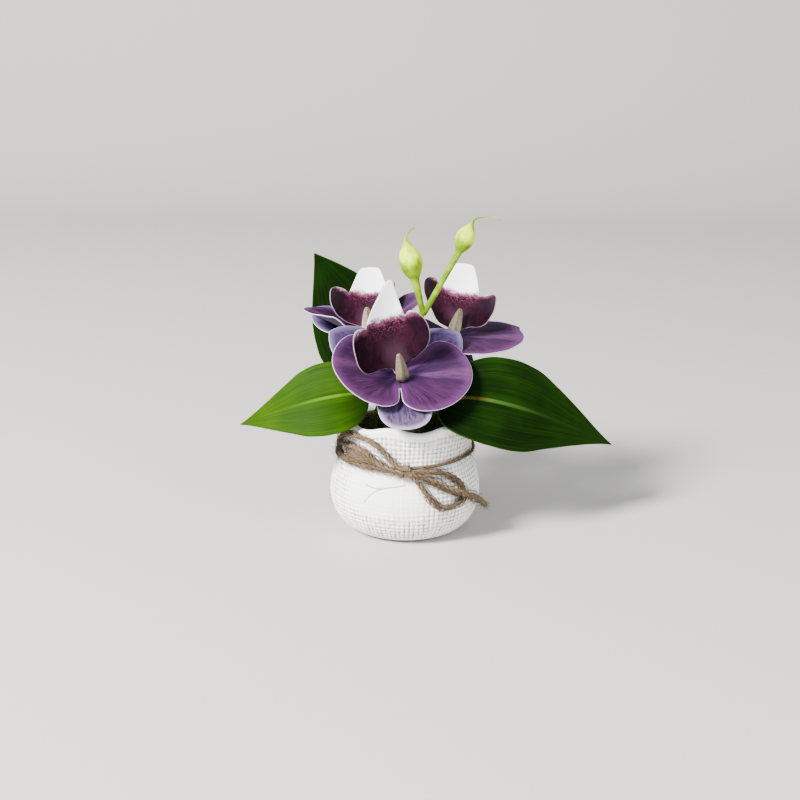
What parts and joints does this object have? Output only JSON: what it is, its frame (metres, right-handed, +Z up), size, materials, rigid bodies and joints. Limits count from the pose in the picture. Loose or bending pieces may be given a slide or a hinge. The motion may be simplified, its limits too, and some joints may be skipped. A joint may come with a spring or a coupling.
{
  "type": "potted miniature orchid",
  "caption": "Miniature butterfly orchid in a small sack-shaped ceramic pot tied with a jute bow, for a shelf, desk or table.",
  "frame": {"origin": "centre of the pot's foot, on the surface that it stands on", "axes": "+Z up along the pot's axis, -Y towards the front with the twine bow, +X to the right, where the longest leaf reaches"},
  "size_m": [0.1806, 0.0829, 0.1526],
  "materials": {
    "white_ceramic": "matte",
    "dark_soil": "matte",
    "jute": "matte",
    "leaf_green": "satin",
    "sepal_lavender": "matte",
    "petal_purple": "matte",
    "lip_maroon": "satin",
    "column_cream": "satin",
    "stem_green": "satin",
    "bud_yellow_green": "satin"
  },
  "bodies": {
    "root": {"pot": "white_ceramic", "soil": "dark_soil", "twine": "jute", "leaf_left": "leaf_green", "leaf_right": "leaf_green", "leaf_back": "leaf_green", "front_sepals": "sepal_lavender", "front_petals": "petal_purple", "front_lip": "lip_maroon", "front_column": "column_cream", "front_stem": "stem_green", "left_sepals": "sepal_lavender", "left_petals": "petal_purple", "left_lip": "lip_maroon", "left_column": "column_cream", "left_stem": "stem_green", "right_sepals": "sepal_lavender", "right_petals": "petal_purple", "right_lip": "lip_maroon", "right_column": "column_cream", "right_stem": "stem_green", "bud_spray": "bud_yellow_green"}
  },
  "joints": []
}
